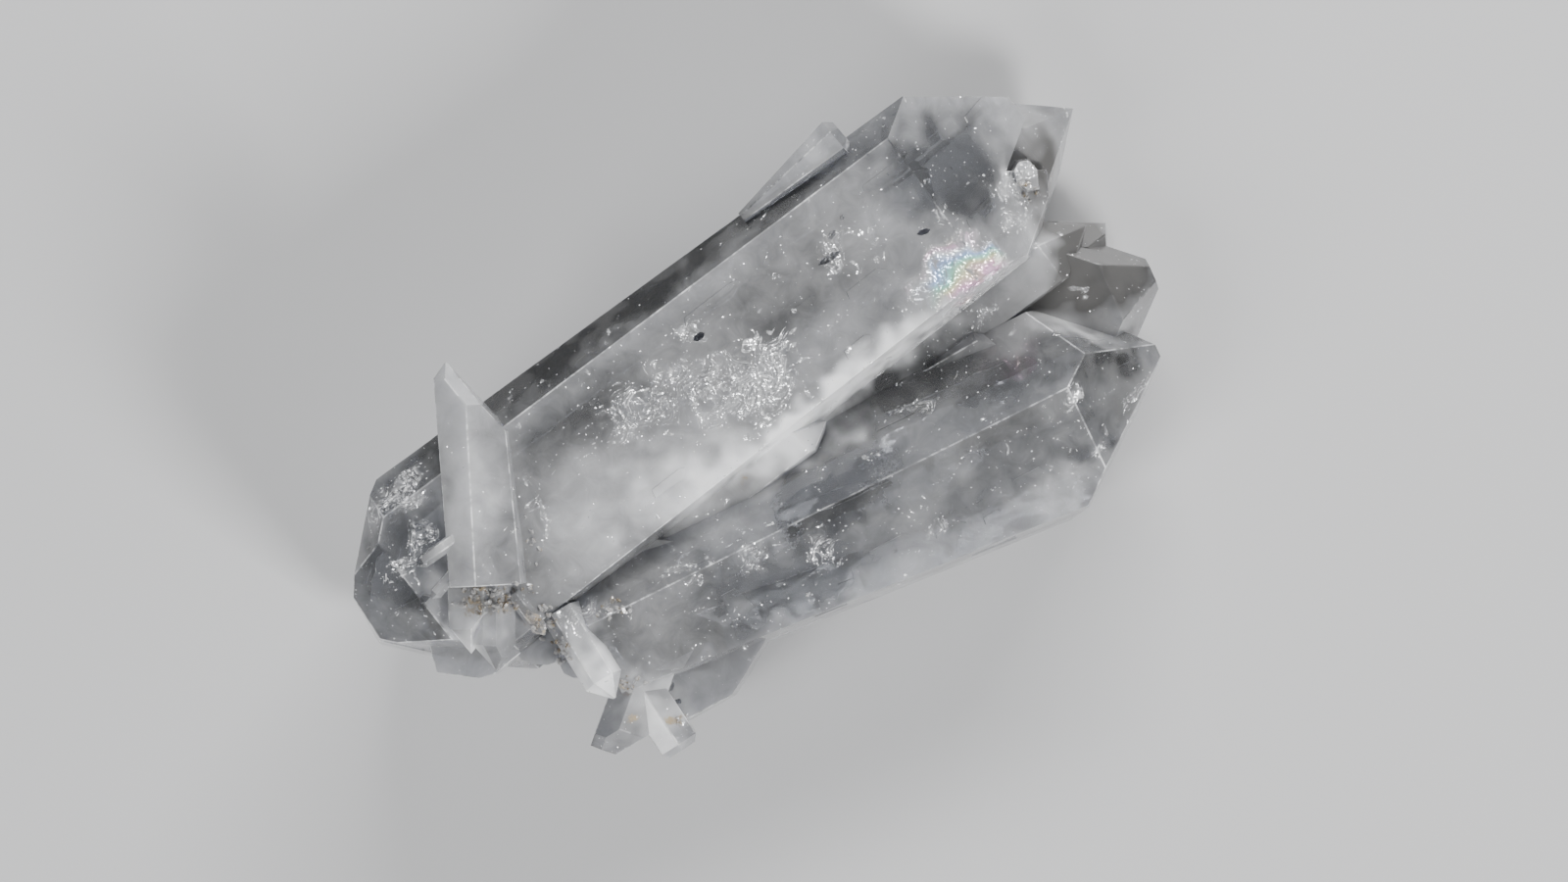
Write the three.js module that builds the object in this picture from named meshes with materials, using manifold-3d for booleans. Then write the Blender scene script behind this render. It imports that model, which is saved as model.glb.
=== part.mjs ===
// A cluster of quartz crystals, grown together into one piece, lying on its back.
// Millimetres, +Z up. +X runs towards the points of the large crystals, +Y towards the upper side of the
// largest one. The origin is under the middle of the cluster, on the surface that it rests on.
import * as THREE from "three";
import { ConvexGeometry } from "three/addons/geometries/ConvexGeometry.js";
import { mergeVertices } from "three/addons/utils/BufferGeometryUtils.js";
import Module from "manifold-3d";

const wasm = await Module();
wasm.setup();

// Quartz: six prism faces 60 degrees apart, each capped by a face that leans 38.2 degrees from the axis.
const FACES = 6;
const FACE_TURN = 60;
const CAP_LEAN = THREE.MathUtils.degToRad(38.2);
const SAME_POINT = 1e-4;
const INSIDE = 1e-6;

const degrees = THREE.MathUtils.degToRad;
const vector = (x, y, z) => new THREE.Vector3(x, y, z);

// The directions of a crystal: its axis, the right-hand side of the axis, and up from both.
function directions({ yaw, pitch = 0 }) {
  const level = Math.cos(degrees(pitch));
  const axis = vector(
    level * Math.cos(degrees(yaw)),
    level * Math.sin(degrees(yaw)),
    Math.sin(degrees(pitch)),
  );
  const side = vector(Math.sin(degrees(yaw)), -Math.cos(degrees(yaw)), 0);
  const rise = new THREE.Vector3().crossVectors(side, axis);
  return { axis, side, rise };
}

// The plane through a point, facing a direction, as a normal and its distance from the origin.
function plane(point, facing) {
  const normal = facing.clone().normalize();
  return { normal, distance: normal.dot(point) };
}

// The closed solid that lies behind all of the given planes.
function insideOf(planes) {
  const corners = [];
  const inverse = new THREE.Matrix3();
  for (let i = 0; i < planes.length; i++)
    for (let j = i + 1; j < planes.length; j++)
      for (let k = j + 1; k < planes.length; k++) {
        const [a, b, c] = [planes[i], planes[j], planes[k]];
        inverse.set(...a.normal, ...b.normal, ...c.normal);
        if (Math.abs(inverse.determinant()) < SAME_POINT) continue;
        const corner = vector(a.distance, b.distance, c.distance).applyMatrix3(inverse.invert());
        if (planes.some((p) => p.normal.dot(corner) > p.distance + INSIDE)) continue;
        if (corners.some((other) => other.distanceTo(corner) < SAME_POINT)) continue;
        corners.push(corner);
      }
  return solidOf(new ConvexGeometry(corners));
}

// A manifold solid made from a closed three.js geometry.
function solidOf(geometry) {
  const bare = geometry.clone();
  bare.deleteAttribute("normal");
  bare.deleteAttribute("uv");
  const merged = mergeVertices(bare, SAME_POINT);
  return new wasm.Manifold(
    new wasm.Mesh({
      numProp: 3,
      vertProperties: merged.attributes.position.array,
      triVerts: new Uint32Array(merged.index.array),
    }),
  );
}

const sixOf = (value) => (Array.isArray(value) ? value : Array(FACES).fill(value));

// One crystal. tip is where its cap faces would meet, prism the distance of each side face from the axis
// through the tip, caps how far each cap face stands back from the tip, taper how many degrees each side face
// leans in towards the tip, and roll the turn of face 0 from the axis's right-hand side. It ends at length,
// square or, with a foot, in a second point. cuts are broken corners: a point and the way the break faces.
function crystal(spec) {
  const { tip, roll = 0, length, prism, caps = 0, taper = 0, foot, cuts = [] } = spec;
  const { axis, side, rise } = directions(spec);
  const apex = vector(...tip);
  const planes = [];
  const outward = [];
  for (let k = 0; k < FACES; k++) {
    const turn = degrees(roll + FACE_TURN * k);
    outward.push(side.clone().multiplyScalar(Math.cos(turn)).addScaledVector(rise, Math.sin(turn)));
  }
  const capFace = (face, along) =>
    face.clone().multiplyScalar(Math.cos(CAP_LEAN)).addScaledVector(axis, along * Math.sin(CAP_LEAN));
  outward.forEach((face, k) => {
    const beside = apex.clone().addScaledVector(face, sixOf(prism)[k]);
    const lean = Math.tan(degrees(sixOf(taper)[k]));
    planes.push(plane(beside, face.clone().addScaledVector(axis, lean)));
    const cap = capFace(face, 1);
    planes.push({ normal: cap, distance: cap.dot(apex) - sixOf(caps)[k] });
  });
  if (foot) {
    const end = apex
      .clone()
      .addScaledVector(axis, -foot.length)
      .addScaledVector(side, foot.side)
      .addScaledVector(rise, foot.rise);
    outward.forEach((face, k) => {
      const cap = capFace(face, -1);
      planes.push({ normal: cap, distance: cap.dot(end) - sixOf(foot.caps)[k] });
    });
    planes.push(plane(end.clone().addScaledVector(axis, foot.blunt), axis.clone().negate()));
  } else {
    planes.push(plane(apex.clone().addScaledVector(axis, -length), axis.clone().negate()));
  }
  if (spec.blunt) planes.push(plane(apex.clone().addScaledVector(axis, -spec.blunt), axis));
  for (const { at, facing } of cuts) planes.push(plane(vector(...at), vector(...facing)));
  return insideOf(planes);
}

// A broken lump with flat faces: an outline seen from above, from a low to a high level, drawn in at the top.
function lump({ outline, low, high, draft }) {
  const middle = outline.reduce((sum, [x, y]) => sum.add(vector(x, y, 0)), vector(0, 0, 0));
  middle.divideScalar(outline.length);
  const corners = outline.flatMap(([x, y]) => {
    const bottom = vector(x, y, low);
    const top = vector(x, y, 0).lerp(middle, draft).setZ(high);
    return [bottom, top];
  });
  return solidOf(new ConvexGeometry(corners));
}

// The largest crystal, pointed at both ends.
const GREAT = {
  tip: [42, 44, 17.5],
  yaw: 36.9,
  roll: 15,
  prism: [14.4, 13.8, 21.6, 12.3, 12.8, 20.2],
  taper: [1, 0, 0, 1.1, 0, 0.5],
  caps: [-4.3, 0.7, -11.4, -7, -2, -3],
  foot: { length: 136, side: 0, rise: 0, caps: [3.2, 1, -3.2, 3.9, -1, -1], blunt: 0 },
  cuts: [
    { at: [30, 49.9, 25], facing: [0, 1, 0.05] },
    { at: [36.4, 49.7, 25], facing: [0.77, 0.64, 0.22] },
    { at: [-61, -28.7, 20], facing: [-0.83, -0.56, 0.1] },
    { at: [-58.2, -33, 20], facing: [-0.22, -0.97, 0.1] },
  ],
};

// Pits in its front face, seen from above, and how deep they are below the level of the face there.
const PITS = [
  { middle: [-9.1, 13.2], long: 3, wide: 1.7, turn: 35, level: 32.6, depth: 0.7 },
  { middle: [10.6, 25.1], long: 6.4, wide: 1.9, turn: 33, level: 32.8, depth: 0.8 },
  { middle: [24.9, 29.1], long: 3.2, wide: 1.4, turn: 20, level: 30.6, depth: 0.5 },
  { middle: [12.4, 31.2], long: 1.6, wide: 0.9, turn: 70, level: 34.1, depth: 0.4 },
];
const PIT_CORNERS = 6;

// The broken corner beside its right-hand point.
const GREAT_NOTCH = {
  outline: [
    [37.7, 38.7],
    [41.6, 49],
    [50, 48],
    [47, 39.4],
  ],
  low: 12,
  high: 45,
  draft: 0,
};

const solids = [
  // Parallel crystals behind the largest one.
  { tip: [48.6, 49, 8.5], yaw: 37, roll: 15, length: 80, prism: [11, 7.5, 11, 10, 6, 6] },
  { tip: [50.4, 30.8, 13], yaw: 37, roll: 15, length: 85, prism: [5.7, 6.5, 12, 10, 8, 7] },
  {
    tip: [55.8, 31.2, 6.5],
    yaw: 37,
    length: 70,
    prism: [7, 5, 6, 7, 4, 4],
    cuts: [{ at: [53.9, 28, 6], facing: [1, 0.05, 0.1] }],
  },
  { tip: [63.3, 24.5, 9], yaw: 24, roll: 30, length: 95, prism: [12, 8, 11, 12, 9, 12], blunt: 2.85 },
  // The second large crystal.
  {
    tip: [62.3, 11.7, 15.5],
    yaw: 26.4,
    roll: 7,
    length: 98,
    prism: [18.4, 11.4, 11.2, 14, 11, 17],
    taper: [-4.3, 0, 0, 0, 0, -4.3],
    caps: [0, 1.3, -4, -1.7, 0, -3],
    cuts: [
      { at: [62.3, 11.7, 15.5], facing: [0.28, 0.86, 0.42] },
      { at: [53, -7.8, 12], facing: [0.84, -0.54, -0.1] },
    ],
  },
  // Lobes of the largest crystal, over the valley between the two.
  { tip: [10.3, 0.6, 21], yaw: 38, pitch: 3, roll: 20, length: 40, prism: [3.2, 3.8, 6, 8, 5, 6] },
  { tip: [-8.5, -16.2, 21.5], yaw: 38, pitch: 9, roll: 24, length: 20, prism: [3.4, 3.2, 5, 6, 5, 6] },
  { tip: [42.3, 13.2, 17], yaw: 30, pitch: 6, roll: 20, length: 30, prism: [3, 3.6, 6, 6, 5, 6] },
  // Hidden crystals under the cluster, which it rests on.
  { tip: [21.8, 37.6, 7], yaw: 37, roll: 30, length: 85, prism: [8, 9, 8, 8, 7, 8] },
  { tip: [-54, -27, 6.5], yaw: 200, roll: 30, length: 40, prism: 6.5 },
  { tip: [-5, -37.5, 6], yaw: -35, roll: 30, length: 45, prism: [6, 7, 6, 6, 6, 6] },
  // The upright crystal across the left end.
  {
    tip: [-47.1, 9.4, 36],
    yaw: 93,
    roll: 5,
    length: 34,
    prism: [8.1, 5.3, 2.1, 2, 6, 9],
    taper: [2.6, 0, 0, -1.6, 0, 2],
  },
  // The short crystal that points down from its foot.
  { tip: [-39.8, -37.3, 31.5], yaw: -90, roll: 30, length: 17, prism: [3.1, 3, 1.6, 3.4, 8, 8] },
  { tip: [-43.6, -34.8, 30.5], yaw: -88, roll: 5, length: 14, prism: [3.3, 3, 5, 4, 6, 8] },
  { tip: [-21.8, -41.9, 28], yaw: -58, pitch: 8, roll: 35, length: 16, prism: 2.75 },
  { tip: [-25.2, -52.6, 18], yaw: -110, length: 22, prism: [1.8, 4, 5.5, 6.5, 4, 4], blunt: 3 },
  { tip: [-10.2, -52.2, 19], yaw: -57, length: 14, prism: 3.1, blunt: 2.9 },
  // The small crystal along the upper side.
  { tip: [14.1, 45.5, 33.5], yaw: 40.5, pitch: 2, roll: 20, length: 22, prism: 3.1, taper: -6, blunt: 2.2 },
  // Nubs.
  { tip: [-51.6, -21.4, 37.5], yaw: 215, roll: 20, length: 8, prism: 1 },
  { tip: [-49.4, -26.4, 35.4], yaw: 230, roll: 10, length: 8, prism: 0.9 },
  { tip: [-32.4, -32, 30.5], yaw: -52, roll: 25, length: 8, prism: 1.1 },
].map(crystal);

// Broken pieces: the chips beside the notch, the two plates under the second large crystal, and the lumps
// at the lower left.
const lumps = [
  {
    outline: [
      [37.9, 39],
      [39.1, 41.1],
      [41.3, 41.4],
      [43.3, 39.3],
      [43.6, 35.4],
      [41, 34.6],
      [38.6, 36.6],
    ],
    low: 12,
    high: 22.6,
    draft: 0.35,
  },
  {
    outline: [
      [-19, -29],
      [-16, -28.8],
      [-12.9, -28.8],
      [-9.4, -30.6],
      [-8.9, -33.5],
      [-11.3, -37.6],
      [-19, -38.1],
      [-21.4, -37.6],
      [-24, -33],
    ],
    low: 12,
    high: 24,
    draft: 0.08,
  },
  {
    outline: [
      [-24, -25],
      [-8, -27],
      [3, -31],
      [0.4, -34.8],
      [-1.6, -38.8],
      [-3.7, -42],
      [-8.4, -44.3],
      [-10.8, -45.9],
      [-17, -45],
      [-23, -38],
    ],
    low: 6,
    high: 17,
    draft: 0.1,
  },
  {
    outline: [
      [-51, -33],
      [-49.5, -38.2],
      [-42.6, -39],
      [-40.3, -38.4],
      [-36, -35],
      [-38, -28],
      [-48, -28],
    ],
    low: 14,
    high: 23,
    draft: 0.06,
  },
  {
    outline: [
      [-39, -32],
      [-36.7, -36.2],
      [-34.7, -37],
      [-32.3, -37.1],
      [-31.1, -36.7],
      [-29, -33],
      [-33, -27],
    ],
    low: 13,
    high: 21,
    draft: 0.1,
  },
  {
    outline: [
      [-30.9, -34.7],
      [-31.2, -36.2],
      [-30.1, -38.4],
      [-28.4, -39.2],
      [-26.7, -39.2],
      [-24, -34],
      [-28, -30],
    ],
    low: 15,
    high: 22,
    draft: 0.15,
  },
].map(lump);

// A pit with slanting sides, open at the top.
function pit({ middle, long, wide, turn, level, depth }) {
  const outline = [];
  for (let k = 0; k < PIT_CORNERS; k++) {
    const around = degrees((360 / PIT_CORNERS) * k);
    const point = vector((long / 2) * Math.cos(around), (wide / 2) * Math.sin(around), 0);
    point.applyAxisAngle(vector(0, 0, 1), degrees(turn));
    outline.push([middle[0] + point.x, middle[1] + point.y]);
  }
  return lump({ outline, low: level + 4, high: level - depth, draft: 0.45 });
}

let great = crystal(GREAT).subtract(lump(GREAT_NOTCH));
for (const hollow of PITS) great = great.subtract(pit(hollow));
const cluster = wasm.Manifold.union([great, ...solids, ...lumps]);

// A three.js geometry made from a manifold solid, with the origin under its middle.
function geometryOf(solid) {
  const mesh = solid.getMesh();
  const geometry = new THREE.BufferGeometry();
  const corners = new Float32Array(mesh.numVert * 3);
  for (let i = 0; i < mesh.numVert; i++)
    corners.set(mesh.vertProperties.subarray(i * mesh.numProp, i * mesh.numProp + 3), i * 3);
  geometry.setAttribute("position", new THREE.BufferAttribute(corners, 3));
  geometry.setIndex(new THREE.BufferAttribute(mesh.triVerts, 1));
  geometry.computeBoundingBox();
  const { min, max } = geometry.boundingBox;
  return geometry.translate(-(min.x + max.x) / 2, -(min.y + max.y) / 2, -min.z);
}

const quartz = new THREE.Mesh(
  geometryOf(cluster),
  new THREE.MeshStandardMaterial({ color: 0xdddde0, roughness: 0.12, metalness: 0 }),
);
quartz.name = "quartz_cluster";

const group = new THREE.Group();
group.add(quartz);

export default group;
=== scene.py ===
"""A cluster of quartz crystals lying on a pale floor, laid out as an add-on.

Metres, +Z up, in the frame of the solids. Lengths in the settings and tables are in millimetres.
"""

import math
import random

import bmesh
import bpy
from bpy.props import FloatProperty, FloatVectorProperty, IntProperty, PointerProperty
from mathutils import Matrix, Vector, noise
from mathutils.bvhtree import BVHTree


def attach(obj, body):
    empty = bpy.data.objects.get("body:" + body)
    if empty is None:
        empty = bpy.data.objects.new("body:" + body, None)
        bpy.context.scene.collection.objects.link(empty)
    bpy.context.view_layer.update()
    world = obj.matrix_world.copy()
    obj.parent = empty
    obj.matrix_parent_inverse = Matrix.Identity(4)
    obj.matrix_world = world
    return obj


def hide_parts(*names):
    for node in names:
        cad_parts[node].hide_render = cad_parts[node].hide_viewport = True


bl_info = {
    "name": "Quartz Cluster",
    "version": (1, 0, 0),
    "blender": (4, 5, 0),
    "location": "View3D > Sidebar > Quartz",
    "description": "Builds a cluster of clear to milky quartz crystals on a studio floor",
    "category": "Add Mesh",
}

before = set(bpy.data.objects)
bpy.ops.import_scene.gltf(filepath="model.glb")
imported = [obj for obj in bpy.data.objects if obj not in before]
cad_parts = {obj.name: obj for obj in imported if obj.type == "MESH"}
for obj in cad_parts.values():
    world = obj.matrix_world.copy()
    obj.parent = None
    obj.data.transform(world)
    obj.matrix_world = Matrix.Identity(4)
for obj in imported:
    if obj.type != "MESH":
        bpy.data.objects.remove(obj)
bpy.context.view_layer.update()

MM = 0.001
NODE = "quartz_cluster"
QUARTZ_IOR = 1.544
SCATTER_SEED = 11

# The cosine of the angle between a crystal's axis and the normals of the faces that close its tip.
CAP_COSINE = 0.618

# How much a face's slope against a crystal's axis counts, next to its distance from the axis.
SLOPE_WEIGHT = 6.0

# How far apart two faces may lie, in millimetres, and still count as one flat face.
SAME_PLANE = 0.02

# Growth ledges, in millimetres: the least area of the face that carries one, the ranges of their lengths,
# widths and heights, how deep they reach into the face, and how high they begin above the floor.
LEDGE_FACE = 60
LEDGE_LONG = (3.0, 11.0)
LEDGE_WIDE = (0.8, 2.6)
LEDGE_HIGH = (0.06, 0.16)
LEDGE_ROOT = 0.25
LEDGE_FLOOR = 3

# Chips, in millimetres: the shortest edge that gets one, their range of sizes, the gap between two, and how
# high they begin above the floor. The angle is how sharp the edge has to be, in degrees.
CHIP_EDGE = 2
CHIP_SIZE = (0.25, 0.75)
CHIP_GAP = 2.6
CHIP_FLOOR = 2
CHIP_ANGLE = 30

# Which edges get a bevel: the least length in bevel widths and the least angle in degrees. Where a bevel
# folds the mesh over, the edges round about it stay sharp, a few bevel widths more at each try.
BEVEL_LENGTH = 26
BEVEL_ANGLE = 14
BEVEL_STEP = 4
BEVEL_TRIES = 8

# The crystals that carry growth lines: tip, turn about +Z, rise, length and half thickness, the largest
# first. Their faces take their growth direction from these axes.
CRYSTALS = (
    ((42.0, 44.3, 17.5), 36.9, 0, 140, 20),
    ((62.3, 12.0, 15.5), 26.4, 0, 100, 17),
    ((48.6, 49.3, 8.5), 37, 0, 80, 11),
    ((50.4, 31.1, 13.0), 37, 0, 85, 9),
    ((55.8, 31.5, 6.5), 37, 0, 70, 7),
    ((63.3, 24.8, 9.0), 24, 0, 95, 12),
    ((21.8, 37.9, 7.0), 37, 0, 85, 8),
    ((-54.0, -26.7, 6.5), 200, 0, 40, 6.5),
    ((-5.0, -37.2, 6.0), -35, 0, 45, 6.5),
    ((-47.1, 9.7, 36.0), 93, 0, 35, 8),
    ((-39.8, -37.0, 31.5), -90, 0, 17, 4),
    ((-43.6, -34.5, 30.5), -88, 0, 14, 4),
    ((-21.8, -41.6, 28.0), -58, 8, 16, 3),
    ((-25.2, -52.3, 18.0), -110, 0, 22, 5),
    ((-10.2, -51.9, 19.0), -57, 0, 14, 3.5),
    ((14.1, 45.8, 33.5), 40.5, 2, 22, 3.5),
    ((10.3, 0.9, 21.0), 38, 3, 40, 4),
    ((-8.5, -15.9, 21.5), 38, 9, 20, 4),
    ((42.3, 13.5, 17.0), 30, 6, 30, 4),
)


def axis_of(turn, rise):
    """The direction of a crystal's axis, towards its tip."""
    turn, rise = math.radians(turn), math.radians(rise)
    level = math.cos(rise)
    return Vector((level * math.cos(turn), level * math.sin(turn), math.sin(rise)))


# Shader maths: sockets as numbers, and a material written node by node.


class Value:
    """A shader socket that adds Math nodes when it is used in an expression."""

    def __init__(self, material, socket):
        self.material = material
        self.socket = socket

    def _maths(self, operation, *operands):
        node = self.material.node("ShaderNodeMath", {"operation": operation}, dict(enumerate(operands)))
        return Value(self.material, node.outputs[0])

    def __add__(self, other):
        return self._maths("ADD", self, other)

    def __sub__(self, other):
        return self._maths("SUBTRACT", self, other)

    def __rsub__(self, other):
        return self._maths("SUBTRACT", other, self)

    def __mul__(self, other):
        return self._maths("MULTIPLY", self, other)

    def at_most(self, other):
        return self._maths("MINIMUM", self, other)

    def at_least(self, other):
        return self._maths("MAXIMUM", self, other)

    __radd__ = __add__
    __rmul__ = __mul__


class Material:
    """A node material, written through one method for nodes and a few for common patterns.

    place is the Object coordinates in millimetres, and loose the vector that the zones are measured in.
    """

    def __init__(self, name):
        self.data = bpy.data.materials.new(name)
        self.data.use_nodes = True
        self.tree = self.data.node_tree
        self.tree.nodes.clear()
        place = self.node("ShaderNodeTexCoord").outputs["Object"]
        self.place = self.node("ShaderNodeVectorMath", {"operation": "SCALE"}, {0: place, "Scale": 1 / MM})
        self.place = self.place.outputs[0]
        self.loose = self.place

    def node(self, kind, settings=None, inputs=None):
        """A new node with its settings, and values or links for its sockets."""
        node = self.tree.nodes.new(kind)
        for name, value in (settings or {}).items():
            if name == "stops":
                set_stops(node.color_ramp, value)
            else:
                setattr(node, name, value)
        for key, value in (inputs or {}).items():
            socket = node.inputs[key]
            if isinstance(value, Value):
                value = value.socket
            if isinstance(value, bpy.types.NodeSocket):
                self.tree.links.new(value, socket)
            else:
                socket.default_value = value
        return node

    def noise(self, size, detail=3.0, roughness=0.5, vector=None, distortion=0.0):
        """Noise from 0 to 1 whose features are about size millimetres wide."""
        inputs = {"Vector": vector or self.place, "Scale": 1 / size, "Detail": detail}
        inputs |= {"Roughness": roughness, "Distortion": distortion}
        return Value(self, self.node("ShaderNodeTexNoise", None, inputs).outputs["Fac"])

    def stretched(self, vector, scale):
        """vector multiplied by scale."""
        node = self.node("ShaderNodeVectorMath", {"operation": "MULTIPLY"}, {0: vector, 1: scale})
        return node.outputs[0]

    def between(self, value, low, high, out_low=0.0, out_high=1.0):
        """value mapped smoothly from low..high to out_low..out_high."""
        inputs = {"Value": value, "From Min": low, "From Max": high, "To Min": out_low, "To Max": out_high}
        node = self.node("ShaderNodeMapRange", {"interpolation_type": "SMOOTHSTEP"}, inputs)
        return Value(self, node.outputs["Result"])

    def wandering(self, vector, size, amount):
        """vector moved by up to about amount, over distances of about size."""
        inputs = {"Vector": vector, "Scale": 1 / size, "Detail": 1.0}
        inputs = {0: self.node("ShaderNodeTexNoise", None, inputs).outputs["Color"], 1: (0.5, 0.5, 0.5)}
        wander = self.node("ShaderNodeVectorMath", {"operation": "SUBTRACT"}, inputs).outputs[0]
        inputs = {0: wander, 1: (2 * amount, 2 * amount, 2 * amount), 2: vector}
        return self.node("ShaderNodeVectorMath", {"operation": "MULTIPLY_ADD"}, inputs).outputs[0]

    def flakes(self, vector, share):
        """1 on a share of angular flakes about as large as a unit of vector, and a random value of each."""
        inputs = {"Vector": vector, "Scale": 1.0, "Randomness": 1.0}
        cells = self.node("ShaderNodeTexVoronoi", None, inputs).outputs
        parts = self.node("ShaderNodeSeparateColor", None, {"Color": cells["Color"]}).outputs
        lit = self.between(Value(self, parts[0]) + share, 0.97, 1.03)
        return lit * self.between(Value(self, cells["Distance"]), 0.58, 0.34), Value(self, parts[1])

    def placed(self, middle, radii, turn):
        """Coordinates that are 0 at middle and 1 at the radii, turned about +Z."""
        inputs = {"Vector": self.loose, "Location": middle, "Rotation": (0, 0, math.radians(turn))}
        mapping = self.node("ShaderNodeMapping", {"vector_type": "TEXTURE"}, inputs | {"Scale": radii})
        return mapping.outputs[0]

    def reach(self, vector):
        """The length of vector."""
        length = self.node("ShaderNodeVectorMath", {"operation": "LENGTH"}, {0: vector})
        return Value(self, length.outputs["Value"])

    def zone(self, middle, radii, turn=0.0, edge=0.5):
        """1 in a soft ellipsoid about middle, 0 outside it."""
        return self.between(self.reach(self.placed(middle, radii, turn)), 1.0, 1.0 - edge)

    def mix_colour(self, factor, first, second):
        """first where factor is 0 and second where it is 1."""
        node = self.node("ShaderNodeMix", {"data_type": "RGBA"}, {"Factor": factor})
        for socket, value in ((node.inputs[6], first), (node.inputs[7], second)):
            if isinstance(value, bpy.types.NodeSocket):
                self.tree.links.new(value, socket)
            else:
                socket.default_value = (*value, 1.0)
        return node.outputs[2]

    def bump(self, height, distance):
        """A normal roughened by height, which stands distance metres high at 1."""
        node = self.node("ShaderNodeBump", None, {"Height": height, "Distance": distance, "Strength": 1.0})
        return node.outputs["Normal"]

    def finish(self, shader):
        """Put shader on the surface and hand back the material."""
        self.node("ShaderNodeOutputMaterial", None, {"Surface": shader})
        return self.data


def set_stops(ramp, stops):
    """Give a colour ramp the listed (position, colour) stops."""
    while len(ramp.elements) > 1:
        ramp.elements.remove(ramp.elements[-1])
    for index, (position, colour) in enumerate(stops):
        element = ramp.elements[0] if index == 0 else ramp.elements.new(position)
        element.position = position
        element.color = (*colour, 1.0)


# Settings: the sizes and colours that a user would change.


class QuartzCrystalSettings(bpy.types.PropertyGroup):
    edge: FloatProperty(
        name="Edge width",
        description="Width of the narrow bevel along the crystals' edges",
        default=0.14 * MM,
        unit="LENGTH",
    )
    ledges: IntProperty(
        name="Growth ledges",
        description="How many low growth steps stand on the larger faces",
        default=46,
        min=0,
    )
    chips: IntProperty(
        name="Chips",
        description="How many small chips are broken out of the edges",
        default=60,
        min=0,
    )
    relief: FloatProperty(
        name="Relief",
        description="Height of the fine unevenness of the faces",
        default=0.10 * MM,
        unit="LENGTH",
    )
    milkiness: FloatProperty(
        name="Milkiness",
        description="How cloudy the quartz is between its clear and its milky zones",
        default=0.27,
        min=0.0,
        max=1.0,
        subtype="FACTOR",
    )
    # The clear quartz's tint is made dark so that the clear zones read dark: painted shade over the
    # quartz's faint tint.
    shaded_clear_colour: FloatVectorProperty(
        name="Clear colour",
        description="Tint of the clear quartz",
        default=(0.24, 0.25, 0.275),
        size=3,
        subtype="COLOR",
    )
    milk_colour: FloatVectorProperty(
        name="Milk colour",
        description="Colour of the milky quartz",
        default=(0.62, 0.625, 0.64),
        size=3,
        subtype="COLOR",
    )
    glow_colour: FloatVectorProperty(
        name="Glow colour",
        description="Colour of the densest milky quartz",
        default=(0.95, 0.955, 0.97),
        size=3,
        subtype="COLOR",
    )
    warm_colour: FloatVectorProperty(
        name="Warm colour",
        description="Colour of the smooth warm grey crystals behind the large tip",
        default=(0.080, 0.078, 0.076),
        size=3,
        subtype="COLOR",
    )
    stain_colour: FloatVectorProperty(
        name="Stain colour",
        description="Colour of the iron stain where the crystals meet",
        default=(0.40, 0.30, 0.16),
        size=3,
        subtype="COLOR",
    )


class QuartzInsideSettings(bpy.types.PropertyGroup):
    veil_colour: FloatVectorProperty(
        name="Veil colour",
        description="Colour of the healed cracks inside the quartz",
        default=(0.92, 0.93, 0.95),
        size=3,
        subtype="COLOR",
    )


class QuartzCrustSettings(bpy.types.PropertyGroup):
    density: FloatProperty(
        name="Density",
        description="How densely the grains lie, against the usual",
        default=1.0,
        min=0.0,
    )
    grain: FloatProperty(
        name="Grain size",
        description="Length of a usual grain",
        default=0.66 * MM,
        unit="LENGTH",
    )
    grain_colour: FloatVectorProperty(
        name="Stain colour",
        description="Colour of the stained grains",
        default=(0.52, 0.42, 0.25),
        size=3,
        subtype="COLOR",
    )


class QuartzStageSettings(bpy.types.PropertyGroup):
    floor_colour: FloatVectorProperty(
        name="Floor colour",
        description="Colour of the plain floor",
        default=(0.52, 0.52, 0.525),
        size=3,
        subtype="COLOR",
    )
    key_power: FloatProperty(
        name="Key light",
        description="Power of the large soft light above the cluster",
        default=20.0,
        unit="POWER",
    )
    lens: FloatProperty(
        name="Lens",
        description="Focal length of the camera, in millimetres",
        default=150.0,
        min=20.0,
    )


def settings(context, name):
    """The scene's settings of one group."""
    return getattr(context.scene, name)


# Meshes: helpers for the crystals' shapes.


def mesh_object(name, bm):
    """A new scene object from a bmesh, which is freed."""
    mesh = bpy.data.meshes.new(name)
    bm.to_mesh(mesh)
    bm.free()
    obj = bpy.data.objects.new(name, mesh)
    bpy.context.scene.collection.objects.link(obj)
    return obj


def drop_loaded_normals(mesh):
    """Let the faces' own normals count, in place of those that were loaded with the solid."""
    loaded = mesh.attributes.get("custom_normal")
    if loaded:
        mesh.attributes.remove(loaded)


def evaluated_mesh(obj, name):
    """obj's mesh with its modifiers applied, as a new plain mesh."""
    graph = bpy.context.evaluated_depsgraph_get()
    mesh = bpy.data.meshes.new_from_object(obj.evaluated_get(graph), depsgraph=graph)
    mesh.name = name
    return mesh


def combine(obj, other, operation):
    """Join other to obj, or cut it from obj, and remove other."""
    modifier = obj.modifiers.new(operation, "BOOLEAN")
    modifier.operation = operation
    modifier.solver = "MANIFOLD"
    modifier.object = other
    mesh = evaluated_mesh(obj, obj.data.name)
    obj.modifiers.remove(modifier)
    if len(mesh.polygons) < len(obj.data.polygons) // 2:
        raise RuntimeError(f"{operation} lost the mesh of {obj.name}")
    obj.data = mesh
    bpy.data.objects.remove(other)


def large_faces(mesh, smallest):
    """The faces of more than smallest square millimetres, the largest first."""
    faces = [p for p in mesh.polygons if p.area > smallest * MM * MM]
    return sorted(faces, key=lambda p: (-p.area, *p.center))


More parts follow.
